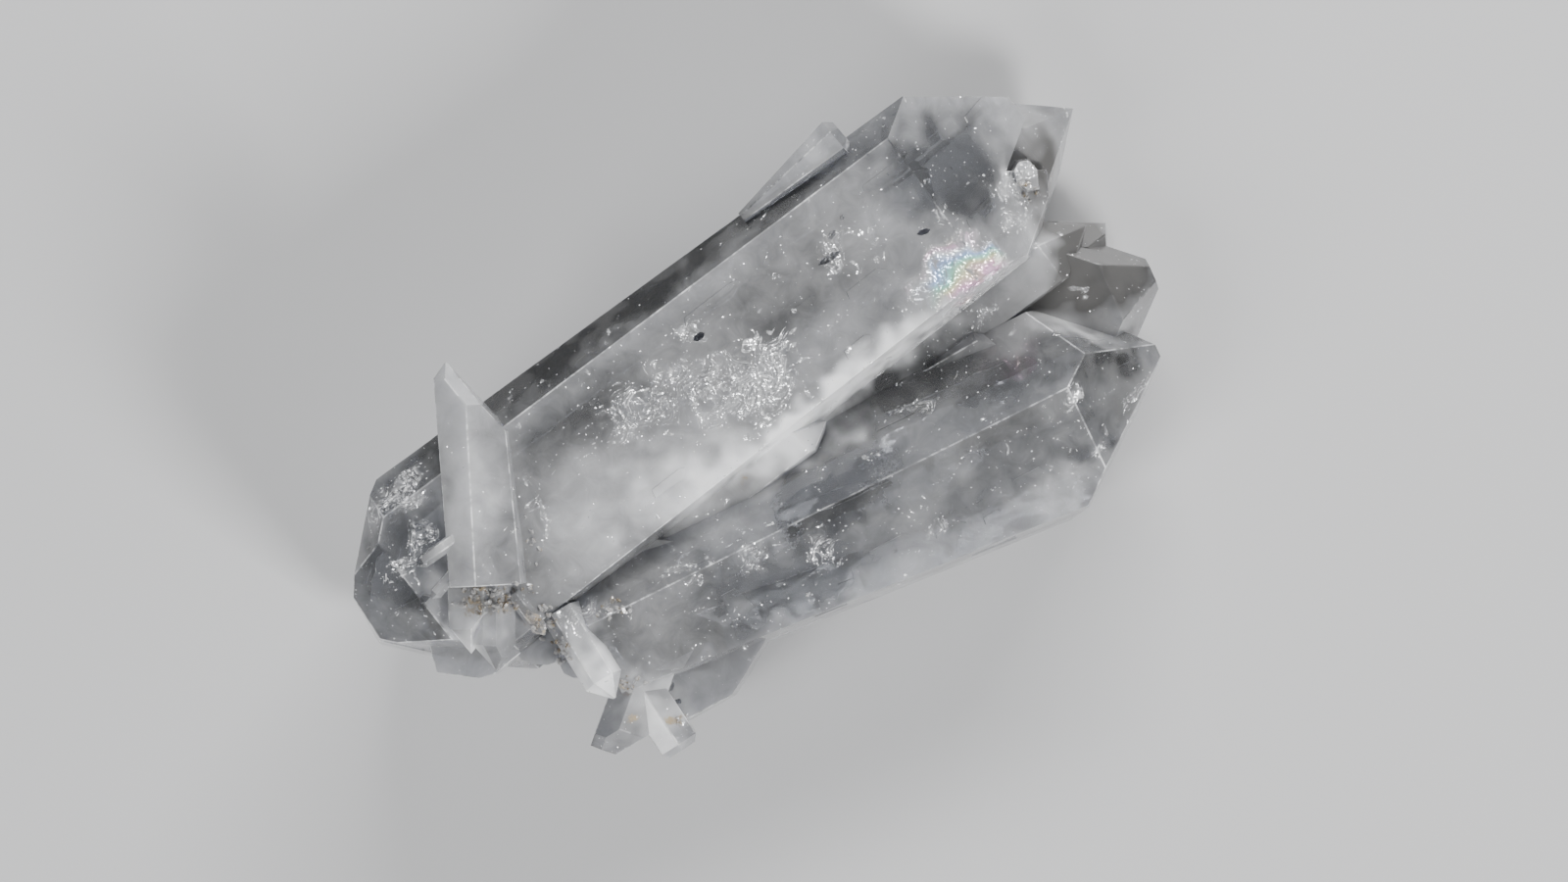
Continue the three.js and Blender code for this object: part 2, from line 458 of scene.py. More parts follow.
def random_point(mesh, face, rng, margin):
    """A point on a face at least margin inside its outline, or None."""
    corners = [mesh.vertices[i].co for i in face.vertices]
    centre = face.center
    corner = rng.choice(corners)
    other = rng.choice(corners)
    a, b = rng.random(), rng.random()
    point = centre.lerp(corner, a * 0.8).lerp(centre.lerp(other, b * 0.8), 0.5)
    for first, second in zip(corners, corners[1:] + corners[:1]):
        along = (second - first).normalized()
        inward = face.normal.cross(along)
        if (point - first).dot(inward) < margin:
            return None
    return point


def misfit(crystal, point, normal):
    """How badly a face at point suits a crystal, judged by its distance from the axis and its slope."""
    tip, turn, rise, length, half = crystal
    axis = axis_of(turn, rise)
    start = Vector(tip) * MM
    along = (point - start).dot(axis)
    inside = max(-length * MM, min(0.0, along))
    distance = (point - start - axis * inside).length / (half * MM)
    slope = abs(normal.dot(axis))
    return distance + SLOPE_WEIGHT * min(slope, abs(slope - CAP_COSINE))


def nearest_crystal(samples):
    """The crystal that suits a flat face best, from samples of its (point, normal, area)."""
    return min(CRYSTALS, key=lambda c: sum(misfit(c, p, n) * area for p, n, area in samples))


def flat_groups(mesh):
    """The mesh's faces gathered by the plane that they lie in, found from the largest face down."""
    near = SAME_PLANE * MM
    groups = []
    for face in sorted(mesh.polygons, key=lambda f: -f.area):
        corners = [mesh.vertices[i].co for i in face.vertices]
        for normal, height, faces in groups:
            if face.normal.dot(normal) > 0.5 and all(abs(c.dot(normal) - height) < near for c in corners):
                faces.append(face)
                break
        else:
            groups.append((face.normal.copy(), corners[0].dot(face.normal), [face]))
    return [faces for _normal, _height, faces in groups]


def ledge_mesh(mesh, count, rng):
    """Low flat steps on the large faces, pointed towards the crystal's tip."""
    bm = bmesh.new()
    faces = large_faces(mesh, LEDGE_FACE)
    weights = [f.area for f in faces]
    placed = []
    tries = 0
    while len(placed) < count and tries < count * 40:
        tries += 1
        face = rng.choices(faces, weights)[0]
        long = rng.uniform(*LEDGE_LONG) * MM
        wide = rng.uniform(*LEDGE_WIDE) * MM
        point = random_point(mesh, face, rng, wide)
        if point is None or point.z < LEDGE_FLOOR * MM:
            continue
        if any((point - other).length < (long + reach) * 0.75 for other, reach in placed):
            continue
        crystal = nearest_crystal([(point, face.normal, 1.0)])
        axis = axis_of(crystal[1], crystal[2])
        forward = (axis - face.normal * axis.dot(face.normal)).normalized()
        across = face.normal.cross(forward)
        height = rng.uniform(*LEDGE_HIGH) * MM
        outline = ((-0.5, -0.4), (0.34, -0.5), (0.5, rng.uniform(-0.3, 0.3)), (0.36, 0.5), (-0.46, 0.42))
        rings = []
        for lift, scale in ((-LEDGE_ROOT * MM, 1.0), (height, 0.93)):
            ring = []
            for u, v in outline:
                spot = point + forward * (u * long * scale) + across * (v * wide * scale)
                ring.append(bm.verts.new(spot + face.normal * lift))
            rings.append(ring)
        low, high = rings
        bm.faces.new(list(reversed(low)))
        bm.faces.new(high)
        for i, corner in enumerate(low):
            j = (i + 1) % len(low)
            bm.faces.new((corner, low[j], high[j], high[i]))
        placed.append((point, long))
    bmesh.ops.recalc_face_normals(bm, faces=bm.faces)
    return bm


def chip_mesh(mesh, count, rng):
    """Small irregular lumps along the sharp edges, to be cut away."""
    source = bmesh.new()
    source.from_mesh(mesh)
    sharp = math.radians(CHIP_ANGLE)
    edges = [e for e in source.edges if e.is_convex and e.calc_length() > CHIP_EDGE * MM]
    edges = [e for e in edges if len(e.link_faces) == 2 and e.calc_face_angle() > sharp]
    # The boolean leaves its edges in another order on each run, so they are sorted by place.
    edges.sort(key=lambda e: sorted(tuple(v.co) for v in e.verts))
    weights = [e.calc_length() for e in edges]
    bm = bmesh.new()
    placed = []
    tries = 0
    while len(placed) < count and tries < count * 30:
        tries += 1
        edge = rng.choices(edges, weights)[0]
        first, second = sorted((v.co for v in edge.verts), key=tuple)
        point = first.lerp(second, rng.uniform(0.04, 0.96))
        crowded = any((point - other).length < CHIP_GAP * MM for other in placed)
        if crowded or point.z < CHIP_FLOOR * MM:
            continue
        outward = (edge.link_faces[0].normal + edge.link_faces[1].normal).normalized()
        size = rng.uniform(*CHIP_SIZE) * MM
        along = (second - first).normalized()
        turn = Matrix.Rotation(rng.uniform(0, math.tau), 3, "X")
        basis = Matrix((along, outward.cross(along), outward)).transposed() @ turn
        shape = bmesh.ops.create_icosphere(bm, subdivisions=1, radius=1.0)["verts"]
        stretch = Vector((rng.uniform(0.8, 2.2), 1.0, 1.0))
        for vertex in shape:
            wobble = 1.0 + 0.22 * noise.noise(vertex.co * 2.1 + Vector((tries, 0, 0)))
            local = Vector(a * b for a, b in zip(vertex.co, stretch)) * wobble * size
            vertex.co = point + outward * (size * 0.72) + basis @ local
        placed.append(point)
    source.free()
    return bm


def is_folded(face, tree):
    """Whether a face of the bevelled mesh looks against the unbevelled surface under it."""
    if face.calc_area() < 0.02 * MM * MM:
        return False
    _place, normal, _index, distance = tree.find_nearest(face.calc_center_median())
    return normal.dot(face.normal) < -0.2 or distance > 0.25 * MM


def surface_tree(mesh):
    """A tree that finds the nearest place on the mesh."""
    return BVHTree.FromPolygons([v.co for v in mesh.vertices], [tuple(p.vertices) for p in mesh.polygons])


def soften_edges(mesh, width, tree):
    """The mesh with a narrow bevel, marked as rim, along its long outer edges.

    An edge is left sharp where its bevel would fold the mesh over the surface that tree holds.
    """
    spoiled = []
    for attempt in range(BEVEL_TRIES):
        reach = BEVEL_STEP * attempt * width
        bm = bmesh.new()
        bm.from_mesh(mesh)
        rim = bm.faces.layers.float.new("rim")
        sharp = [e for e in bm.edges if e.is_convex and e.calc_length() > BEVEL_LENGTH * width]
        sharp = [e for e in sharp if e.calc_face_angle() > math.radians(BEVEL_ANGLE)]
        sharp = [e for e in sharp if all((v.co - s).length > reach for v in e.verts for s in spoiled)]
        made = bmesh.ops.bevel(
            bm, geom=sharp, offset=width, segments=1, profile=0.5, affect="EDGES", clamp_overlap=False
        )
        for face in made["faces"]:
            face[rim] = 1.0
        bmesh.ops.triangulate(bm, faces=bm.faces)
        folded = [f for f in bm.faces if is_folded(f, tree)]
        if not folded:
            return bm
        spoiled += [v.co.copy() for f in folded for v in f.verts]
        bm.free()
    raise RuntimeError("the bevel folds the mesh over")


def write_growth(mesh):
    """Give every face a UV map along its crystal's axis and a mask of how it lies to that axis.

    u runs along the axis and v across it, both in tens of millimetres. The attribute's red is 1 on prism
    faces, its green a random shade of the crystal plus a painted shade that changes at random from one flat
    face to the next, and its blue is 1 on the bevelled edges.
    """
    mesh.uv_layers.new(name="growth")
    mesh.color_attributes.new("growth_mask", "FLOAT_COLOR", "CORNER")
    uv = mesh.uv_layers["growth"].data
    mask = mesh.color_attributes["growth_mask"].data
    rims = mesh.attributes["rim"].data
    for faces in flat_groups(mesh):
        crystal = nearest_crystal([(f.center, f.normal, f.area) for f in faces])
        tip = Vector(crystal[0]) * MM
        axis = axis_of(crystal[1], crystal[2])
        across = faces[0].normal.cross(axis)
        across = across.normalized() if across.length > 0.1 else Vector((0, 0, 1))
        prism = 1.0 - min(1.0, abs(faces[0].normal.dot(axis)) * 3.0)
        shade = 0.5 + 0.3 * noise.noise(tip / MM * 0.37)
        # This second term makes each flat face milkier or clearer than its neighbours: painted shade
        # between the facets.
        shade += 0.55 * noise.noise(faces[0].normal * 2.9 + tip / MM * 0.11)
        for face in faces:
            rim = rims[face.index].value
            for corner in face.loop_indices:
                place = mesh.vertices[mesh.loops[corner].vertex_index].co - tip
                uv[corner].uv = (place.dot(axis) / (10 * MM), place.dot(across) / (10 * MM))
                mask[corner].color = (prism, shade, rim, 1.0)


# Quartz: the material of the crystals and the zones that it is mixed by.


def summed(m, zones, edge=0.9):
    """The sum of soft zones, each given as middle, radii, turn and amount."""
    parts = [m.zone(middle, radii, turn, edge) * amount for middle, radii, turn, amount in zones]
    return sum(parts[1:], parts[0])


def principled(m, inputs):
    """A Principled shader with the index of refraction of quartz."""
    return m.node("ShaderNodeBsdfPrincipled", None, {"IOR": QUARTZ_IOR} | inputs).outputs[0]


def mixed_shader(m, factor, first, second):
    """first where factor is 0 and second where it is 1."""
    node = m.node("ShaderNodeMixShader", None, {0: factor})
    m.tree.links.new(first, node.inputs[1])
    m.tree.links.new(second, node.inputs[2])
    return node.outputs[0]


def rainbow_colour(m):
    """Thin-film colours in arcs about a millimetre apart."""
    arcs = m.reach(m.placed((44, 14, 30), (1.9, 1.3, 1.9), 0)) + m.noise(5.0, detail=1) * 3.0
    hue = m.node("ShaderNodeMath", {"operation": "FRACT"}, {0: arcs * 0.22})
    stops = (
        (0.0, (0.90, 0.93, 0.98)),
        (0.2, (0.95, 0.55, 0.80)),
        (0.4, (0.95, 0.90, 0.60)),
        (0.6, (0.45, 0.90, 0.72)),
        (0.8, (0.45, 0.62, 0.98)),
        (1.0, (0.90, 0.93, 0.98)),
    )
    ramp = m.node("ShaderNodeValToRGB", {"stops": stops}, {"Fac": Value(m, hue.outputs[0])})
    return ramp.outputs["Color"]


def fan_vector(m):
    """Coordinates that make flakes into strokes running out from one spot."""
    vector = m.placed(FAN_PLACE[0], (1, 1, 1), 0)
    parts = m.node("ShaderNodeSeparateXYZ", None, {"Vector": vector}).outputs
    turn = m.node("ShaderNodeMath", {"operation": "ARCTAN2"}, {0: parts[1], 1: parts[0]}).outputs[0]
    inputs = {"X": Value(m, turn) * 11.0, "Y": m.reach(vector) * 0.5, "Z": 0.0}
    return m.wandering(m.node("ShaderNodeCombineXYZ", None, inputs).outputs[0], 2.0, 0.3)


def quartz_material(group):
    """Clear quartz, darkened as painted shade, mixed with milky quartz by soft zones, with cracks that
    shine like metal leaf in painted glints, painted edge highlights, painted shade between the facets, and
    iron stain.
    """
    m = Material("quartz")
    growth = m.node("ShaderNodeUVMap", {"uv_map": "growth"}).outputs["UV"]
    mask = m.node("ShaderNodeVertexColor", {"layer_name": "growth_mask"}).outputs["Color"]
    parts = m.node("ShaderNodeSeparateColor", None, {"Color": mask})
    prism, shade, rim = (Value(m, parts.outputs[i]) for i in range(3))
    m.loose = m.wandering(m.place, 5.0, 4.5)

    broad = m.noise(13, detail=2)
    fine = m.noise(3.4, detail=4, roughness=0.64, distortion=0.7)
    # The bevelled edge faces, broken up by noise, are made milkier and whiter: a painted highlight along
    # the edges.
    rim_highlight = rim * m.between(fine, 0.42, 0.62)
    # shade, read from the mask, adds a painted shade to the milkiness that changes from facet to facet.
    milk = group.milkiness + (broad - 0.5) * 0.6 + (fine - 0.5) * 0.32 + (shade - 0.5) * 0.5
    milk = m.between(milk + summed(m, MILKY_ZONES) + rim_highlight * 0.32, -0.2, 1.1, 0.06, 0.98)

    patches = summed(m, STAIN_ZONES, 0.8)
    grit = m.noise(1.1, detail=3, roughness=0.75)
    stain = m.between(patches + (grit - 0.5) * 1.5, 0.4, 1.0) * m.between(patches, 0.0, 0.25)
    stain = stain.at_most(0.8)

    # Healed cracks drawn as flakes with painted glints: the flakes, a painted sheen and painted sparkles
    # make the mask for a pale, partly metallic shader.
    foil_zone = summed(m, FOIL_ZONES, 0.8)
    crumple = m.noise(1.6, detail=1)
    share = foil_zone * 0.45 + (fine - 0.5) * 1.1 - 0.08
    slanted = m.wandering(m.placed((0, 0, 0), (1.5, 0.36, 1.5), 62), 2.5, 0.5)
    # Each flake's random value sets how pale it is: a painted glint, lighter on some flakes than on others.
    strokes, glint_tone = m.flakes(slanted, share)
    crossing, _ = m.flakes(m.placed((0, 0, 0), (0.34, 1.0, 1.0), 40), share - 0.14)
    fan_share = m.zone(*FAN_PLACE, 0.5) * 0.66 + (fine - 0.5) * 0.8 - 0.05
    fan, _ = m.flakes(fan_vector(m), fan_share)
    glints = strokes.at_least(crossing).at_least(fan) * (glint_tone * 0.5 + 0.5)
    feather = m.between(m.noise(1.0, detail=2, roughness=0.65, vector=slanted), 0.42, 0.66)
    # A soft feathered sheen in the crack zones, painted.
    feather_sheen = m.between(foil_zone + (fine - 0.5) * 1.6, 0.3, 1.0) * m.between(foil_zone, 0.0, 0.4)
    feather_sheen = feather_sheen * feather * 0.5
    # Small scattered painted sparkles.
    painted_sparkles = m.between(m.noise(0.5, detail=1) + (fine - 0.5) * 0.4 + foil_zone * 0.12, 0.74, 0.77)
    foil_and_glints = glints.at_least(feather_sheen).at_least(painted_sparkles)

    lines = m.noise(1.0, detail=2, vector=m.stretched(growth, (6.0, 0.5, 1.0)))
    steps = m.noise(1.0, detail=1, vector=m.stretched(growth, (2.6, 1.1, 1.0)))
    height = lines * prism * 0.05 + steps * 0.14 + broad * 2.0
    normal = m.bump(height, group.relief * 4)

    # The glow also carries the painted highlight of the bevelled edges.
    glow = summed(m, GLOW_ZONES) + rim_highlight * 0.5
    white = m.mix_colour(glow, tuple(group.milk_colour), tuple(group.glow_colour))
    white = m.mix_colour(summed(m, WARM_ZONES) * 0.8, white, tuple(group.warm_colour))
    white = m.mix_colour(stain, white, tuple(group.stain_colour))
    # The dark clear tint, painted shade, takes the real iron stain where it lies.
    shaded_clear_tint = m.mix_colour(stain, tuple(group.shaded_clear_colour), tuple(group.stain_colour))
    clear = principled(
        m,
        {"Base Color": shaded_clear_tint, "Roughness": 0.03, "Transmission Weight": 1.0, "Normal": normal},
    )
    milky = principled(
        m,
        {
            "Base Color": white,
            "Roughness": 0.45,
            "Subsurface Weight": 0.6,
            "Subsurface Radius": (1.0, 1.0, 1.1),
            "Subsurface Scale": 4 * MM,
            "Coat Weight": 1.0,
            "Coat Roughness": 0.04,
            "Coat IOR": QUARTZ_IOR,
            "Normal": normal,
        },
    )
    patch = m.zone(*RAINBOW_PLACE, 0.45)
    # The crack shader's colour, grey to near white by each flake's random value: painted glints.
    bright = m.mix_colour(glint_tone, (0.66, 0.67, 0.69), (0.98, 0.985, 0.99))
    crack_glint_shader = principled(
        m,
        {
            "Base Color": m.mix_colour(patch, bright, rainbow_colour(m)),
            "Roughness": 0.22,
            "Metallic": 0.45,
            "Normal": m.bump(crumple, 2.5 * MM),
        },
    )
    body = mixed_shader(m, milk.at_least(stain), clear, milky)
    streaks = m.noise(1.0, detail=3, vector=m.placed((0, 0, 0), (1.2, 4.0, 4.0), 10))
    film = patch * m.between(streaks, 0.30, 0.46)
    return m.finish(mixed_shader(m, foil_and_glints.at_least(film), body, crack_glint_shader))


# Where thin-film colours show: middle, radii, turn.
RAINBOW_PLACE = ((30.8, 23.6, 30), (8.4, 6.0, 12), 20)

# Where a crack under the surface shines in strokes that fan out: middle, radii, turn.
FAN_PLACE = ((-1.0, 8.0, 32), (11.5, 8.0, 9), 35)

# Where crumpled cracks just under the surface shine like foil, in painted glints, sheen and sparkles:
# middle, radii, turn, amount.
FOIL_ZONES = (
    ((-0.5, 6.0, 32), (12.5, 9.5, 9), 45, 1.2),
    ((-15.5, 3.5, 32), (16, 8.0, 9), 25, 0.8),
    ((-10.5, 14.0, 32), (3.0, 2.4, 9), 0, 1.0),
    ((11.0, 26.0, 32), (4.6, 2.6, 9), 35, 1.2),
    ((17.5, 28.5, 32), (2.4, 1.8, 9), 35, 0.8),
    ((4.0, 23.5, 32), (3.0, 2.2, 9), 0, 0.7),
    ((-54, -10.5, 33), (7.5, 5.0, 10), 35, 1.3),
    ((-52, -19, 33), (2.6, 8, 10), -25, 0.9),
    ((40, 33, 24), (3.6, 8, 12), 12, 1.0),
    ((40, 37.5, 22.6), (4, 4, 6), 0, 1.3),
    ((34, 16.5, 24), (10, 2.0, 12), 37, 0.9),
    ((-0.5, -19.5, 22), (5.4, 4.4, 12), 20, 1.3),
    ((9.8, -18.5, 22), (4.4, 2.8, 12), 10, 1.2),
    ((-11.5, -22.0, 22), (6.5, 3.4, 12), 15, 1.0),
    ((27.5, -16.0, 20), (2.6, 2.2, 12), 0, 1.0),
    ((24.0, 3.0, 22), (6.5, 1.6, 12), 12, 0.9),
    ((58, 4.5, 16), (2.6, 5.0, 10), -25, 0.8),
    ((-33.5, -14, 36), (2.2, 10, 9), 12, 1.0),
    ((-27.4, -29, 26), (6.0, 5.0, 12), 30, 0.9),
)

# Where the quartz is more milky, or with a negative amount clearer: middle, radii, turn, amount.
MILKY_ZONES = (
    ((-12.5, -9.0, 38), (17, 9, 16), 37, 0.75),
    ((-26, -17, 38), (14, 12, 16), 20, 0.25),
    ((-44, -8, 42), (9, 24, 12), 3, 0.25),
    ((-42, -31, 30), (7, 8, 8), 0, 0.5),
    ((-25, -37, 28), (7, 9, 7), 35, 0.6),
    ((24, 17, 38), (12, 8, 14), 37, 0.3),
    ((13, 3.5, 27), (42, 6.2, 10), 36.5, 0.95),
    ((4, 20, 36), (26, 14, 12), 37, -0.18),
    ((46, -9, 18), (12, 5, 12), 26, 0.3),
    ((30, -6, 22), (3, 6, 8), -20, 0.3),
    ((20, -14, 18), (44, 5, 12), 26, 0.2),
    ((50, 14, 18), (14, 3.5, 8), -15, 0.4),
    ((44, 38, 17), (10, 17, 15), 10, 0.9),
    ((41, 18, 14), (13, 11, 12), 37, 0.7),
    ((51, 27, 13), (18, 16, 16), 20, 0.9),
    ((-16, -43, 21), (10, 7, 12), 0, 0.9),
    ((-4, -36, 18), (16, 10, 14), 25, 0.2),
    ((40, 38, 22.6), (4, 4, 5), 0, 0.6),
    ((56, 4, 18), (10, 12, 12), 20, 0.4),
    ((31, 39, 32), (18, 12, 16), 15, -0.6),
    ((-27, 1, 34), (16, 8, 12), 30, -0.3),
    ((24, 6.5, 24), (14, 6, 9), 20, -0.4),
    ((42, 7.5, 22), (14, 5.5, 9), 15, -0.25),
    ((11, -10.5, 24), (17, 7, 10), 25, -0.5),
    ((44, -3.0, 20), (13, 5.5, 9), 15, -0.35),
    ((-55, -19, 34), (10, 15, 14), -25, -0.4),
    # A long clearer zone along the large crystal's upper edge darkens that narrow face: painted shade.
    ((-24, 15, 28), (60, 6, 9), 36, -0.45),
    ((3, -21, 22), (22, 9, 10), 30, -0.25),
    ((64, 27, 8), (5, 8, 8), 0, -0.5),
    ((8, -23, 20), (16, 7, 14), 27, -0.35),
    ((55, 12, 20), (8, 6, 12), 0, -0.45),
)

# Where the milky quartz is densest and glows white: middle, radii, turn, amount.
GLOW_ZONES = (
    ((-10.5, -9.0, 38), (17, 9, 16), 37, 1.3),
    ((-27, -18, 38), (13, 11, 16), 20, 0.6),
    ((14, 4.5, 28), (42, 6, 10), 36.5, 1.25),
    ((-45, -14, 42), (9, 16, 12), 3, 0.5),
    ((-42, -31, 30), (6, 8, 8), 0, 0.9),
    ((-25, -37, 28), (6, 9, 7), 35, 1.0),
    ((50, 14, 18), (13, 2.8, 8), -15, 0.8),
    ((36, -13, 18), (9, 4, 8), 26, 0.25),
    ((26, 19, 38), (12, 8, 14), 37, 0.35),
    ((10, 42, 32), (8, 5, 8), 40, 0.7),
    ((40, 38, 22.6), (4, 4, 5), 0, 0.6),
)

# Where iron stains the quartz: middle, radii, turn, amount.
STAIN_ZONES = (
    ((-41, -26.5, 33), (9, 4, 8), 0, 0.6),
    ((-34, -29, 30), (4, 4, 5), 0, 0.6),
    ((-20.5, -38.5, 22), (2.2, 2.2, 4), 0, 0.8),
    ((-12.5, -45.0, 20), (1.8, 1.8, 4), 0, 0.8),
    ((-21, -44.5, 20), (3, 2.6, 4), 30, 0.9),
    ((-2.5, -7.6, 24), (2.6, 2.0, 4), 30, 0.6),
    ((-25.5, -36, 20), (4.5, 4.5, 5), 0, 0.35),
)

# Where the milky quartz is a warm grey: middle, radii, turn, amount.
WARM_ZONES = (
    ((44, 39, 16), (11, 18, 16), 10, 1.3),
    ((42, 18, 14), (14, 12, 13), 37, 1.1),
    ((54, 26, 13), (18, 16, 15), 20, 1.7),
    ((56, 4, 18), (10, 12, 12), 20, 0.9),
    ((-17, -43, 20), (10, 8, 12), 0, 0.6),
    ((34, 45, 28), (9, 4, 12), 0, 0.6),
    ((-2, -8, 24), (9, 3, 6), 37, 0.6),
    ((-22, -45, 18), (10, 8, 12), 0, 0.5),
    ((24, -9, 22), (50, 18, 18), 24, 0.5),
    ((-2, -33, 20), (15, 11, 13), 25, 0.8),
)


class QUARTZ_OT_crystals(bpy.types.Operator):
    """Build the crystals from the solid, with growth ledges, chips and fine edges"""

    bl_idname = "quartz.crystals"
    bl_label = "Crystals"

    def execute(self, context):
        group = settings(context, "quartz_crystals")
        rng = random.Random(SCATTER_SEED)
        bm = bmesh.new()
        bm.from_mesh(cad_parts[NODE].data)
        bmesh.ops.remove_doubles(bm, verts=bm.verts, dist=0.002 * MM)
        bmesh.ops.dissolve_limit(bm, angle_limit=math.radians(0.3), verts=bm.verts, edges=bm.edges)
        whole = mesh_object("whole", bm)
        drop_loaded_normals(whole.data)
        tree = surface_tree(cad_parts[NODE].data)
        obj = mesh_object("crystals", soften_edges(whole.data, group.edge, tree))
        bpy.data.objects.remove(whole)
        if group.ledges:
            ledges = mesh_object("ledges", ledge_mesh(obj.data, group.ledges, rng))
            combine(obj, ledges, "UNION")
        if group.chips:
            chips = mesh_object("chips", chip_mesh(obj.data, group.chips, rng))
            combine(obj, chips, "DIFFERENCE")
        bm = bmesh.new()
        bm.from_mesh(obj.data)
        bmesh.ops.triangulate(bm, faces=bm.faces)
        for face in bm.faces:
            face.smooth = False
        bm.to_mesh(obj.data)
        bm.free()
        write_growth(obj.data)
        obj.data.materials.clear()
        obj.data.materials.append(quartz_material(group))
        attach(obj, "root")
        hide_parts(NODE)
        return {"FINISHED"}


# Crumpled healed cracks under the faces: middle from above, depth, long and wide half sizes, turn,
# crumple.
VEILS = (
    ((-0.5, 6.5), 1.2, 8.5, 5.0, 45, 0.7),
    ((-15.0, 4.0), 1.4, 9.0, 4.5, 30, 0.7),
    ((-55.0, -10.5), 1.2, 4.6, 3.0, 40, 0.6),
    ((38.0, 33.5), 1.6, 4.5, 4.0, 60, 0.5),
    ((24.0, -10.0), 1.6, 10.0, 3.0, 26, 0.7),
    ((0.0, -19.0), 1.4, 8.0, 3.5, 25, 0.7),
    ((31.0, 23.5), 1.2, 6.5, 4.0, 20, 0.35),
    ((26.0, -9.0), 9.0, 11.0, 4.5, 26, 0.9),
    ((0.0, -19.0), 9.0, 9.0, 4.5, 30, 0.9),
)

# Into how many steps a healed crack is cut each way.
VEIL_STEPS = 46


def facing_from_above(x, y):
    """The place and normal of the crystals' upper surface at x, y, in metres."""
    start = Vector((x * MM, y * MM, 60 * MM))
    found, place, normal, _index = bpy.data.objects["crystals"].ray_cast(start, Vector((0, 0, -1)))
    return (place, normal) if found else (None, None)


def veil_mesh(bm, middle, depth, long, wide, turn, crumple, seed):
    """Add one crumpled sheet with a ragged outline, depth millimetres under the face at middle."""
    surface, normal = facing_from_above(*middle)
    if surface is None:
        raise RuntimeError(f"no face above the veil at {middle}")
    sloped = Vector((0, 0, 1)).rotation_difference(normal).to_matrix()
    placing = sloped @ Matrix.Rotation(math.radians(turn), 3, "Z")
    rows = []
    for i in range(VEIL_STEPS + 1):
        row = []
        for j in range(VEIL_STEPS + 1):
            u, v = 2 * i / VEIL_STEPS - 1, 2 * j / VEIL_STEPS - 1
            place = Vector((u * long, v * wide, seed * 7.3))
            fold = noise.ridged_multi_fractal(place * 0.55, 1.0, 2.1, 5, 0.9, 2.0)
            height = (fold - 1.0) * 0.45 * crumple - depth
            ragged = math.hypot(u, v) + 0.55 * noise.noise(place * 0.6) + 0.3 * noise.noise(place * 2.0)
            spot = surface + placing @ Vector((u * long, v * wide, height)) * MM
            row.append(bm.verts.new(spot) if ragged < 0.9 else None)
        rows.append(row)
    for i in range(VEIL_STEPS):
        for j in range(VEIL_STEPS):
            corners = (rows[i][j], rows[i + 1][j], rows[i + 1][j + 1], rows[i][j + 1])
            if all(corners):
                bm.faces.new(corners)


def veil_material(group):
    """A silvery broken film with bare gaps, and a rainbow patch near the large tip."""
    m = Material("veil")
    fine = m.noise(0.9, detail=4, roughness=0.7)
    broad = m.noise(4.0, detail=3)
    cover = m.between(fine * 0.6 + broad * 0.6, 0.52, 0.68)
    patch = m.zone(*RAINBOW_PLACE, 0.6)
    colour = m.mix_colour(patch * 0.75, tuple(group.veil_colour), rainbow_colour(m))
    shader = m.node(
        "ShaderNodeBsdfPrincipled",
        None,
        {
            "Base Color": colour,
            "Roughness": 0.3,
            "Metallic": 0.55,
            "Alpha": cover * 0.85,
            "Normal": m.bump(fine, 0.4 * MM),
        },
    )
    return m.finish(shader.outputs[0])


class QUARTZ_OT_veils(bpy.types.Operator):
    """Build the healed cracks that show inside the crystals"""

    bl_idname = "quartz.veils"
    bl_label = "Veils"

    def execute(self, context):
        bm = bmesh.new()
        for seed, spec in enumerate(VEILS):
            veil_mesh(bm, *spec, seed)
        obj = mesh_object("veils", bm)
        obj.data.materials.append(veil_material(settings(context, "quartz_inside")))
        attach(obj, "root")
        return {"FINISHED"}


# Where fine grains and tiny crystals crust the contacts: middle, radii, turn, grains to the square
# millimetre.
CRUST_ZONES = (
    ((-40.5, -25.5), (7.5, 3.2), 0, 2.2),
    ((-33.0, -29.5), (2.6, 3.4), 0, 2.2),
    ((-18.5, -39.0), (3.4, 1.4), 0, 2.0),
    ((-12.4, -45.2), (1.6, 1.4), 0, 1.6),
    ((-30.0, -34.0), (2.4, 2.2), 0, 1.6),
    ((-22.0, -27.8), (3.0, 2.2), 30, 1.4),
    ((-34.5, -17.0), (1.2, 4.6), 12, 1.2),
    ((41.0, 38.0), (1.6, 4.6), 10, 0.8),
)

# The step at which the surface is felt for the crust, the largest drop that it spans, and the height above
# which it doesn't lie.
CRUST_STEP = 0.35
CRUST_DROP = 1.2
CRUST_CEILING = 38.0


def crust_patches(bm):
    """Small patches of the crystals' upper surface, one for each crusted zone."""
    density = bm.verts.layers.float.new("density")
    for (x, y), (rx, ry), turn, amount in CRUST_ZONES:
        turned = Matrix.Rotation(math.radians(turn), 2)
        columns, rows = math.ceil(rx / CRUST_STEP), math.ceil(ry / CRUST_STEP)
        grid = {}
        for i in range(-columns, columns + 1):
            for j in range(-rows, rows + 1):
                u, v = i * CRUST_STEP, j * CRUST_STEP
                reach = math.hypot(u / rx, v / ry)
                if reach + 0.3 * noise.noise(Vector((u, v, x)) * 0.8) > 1.0:
                    continue
                spot = turned @ Vector((u, v))
                place, _normal = facing_from_above(x + spot.x, y + spot.y)
                if place and place.z < CRUST_CEILING * MM:
                    grid[i, j] = bm.verts.new(place)
                    grid[i, j][density] = amount * (1.0 - 0.7 * min(1.0, reach))
        for i, j in list(grid):
            corners = [grid.get(key) for key in ((i, j), (i + 1, j), (i + 1, j + 1), (i, j + 1))]
            if not all(corners):
                continue
            heights = [corner.co.z for corner in corners]
            if max(heights) - min(heights) < CRUST_DROP * MM:
                bm.faces.new(corners)


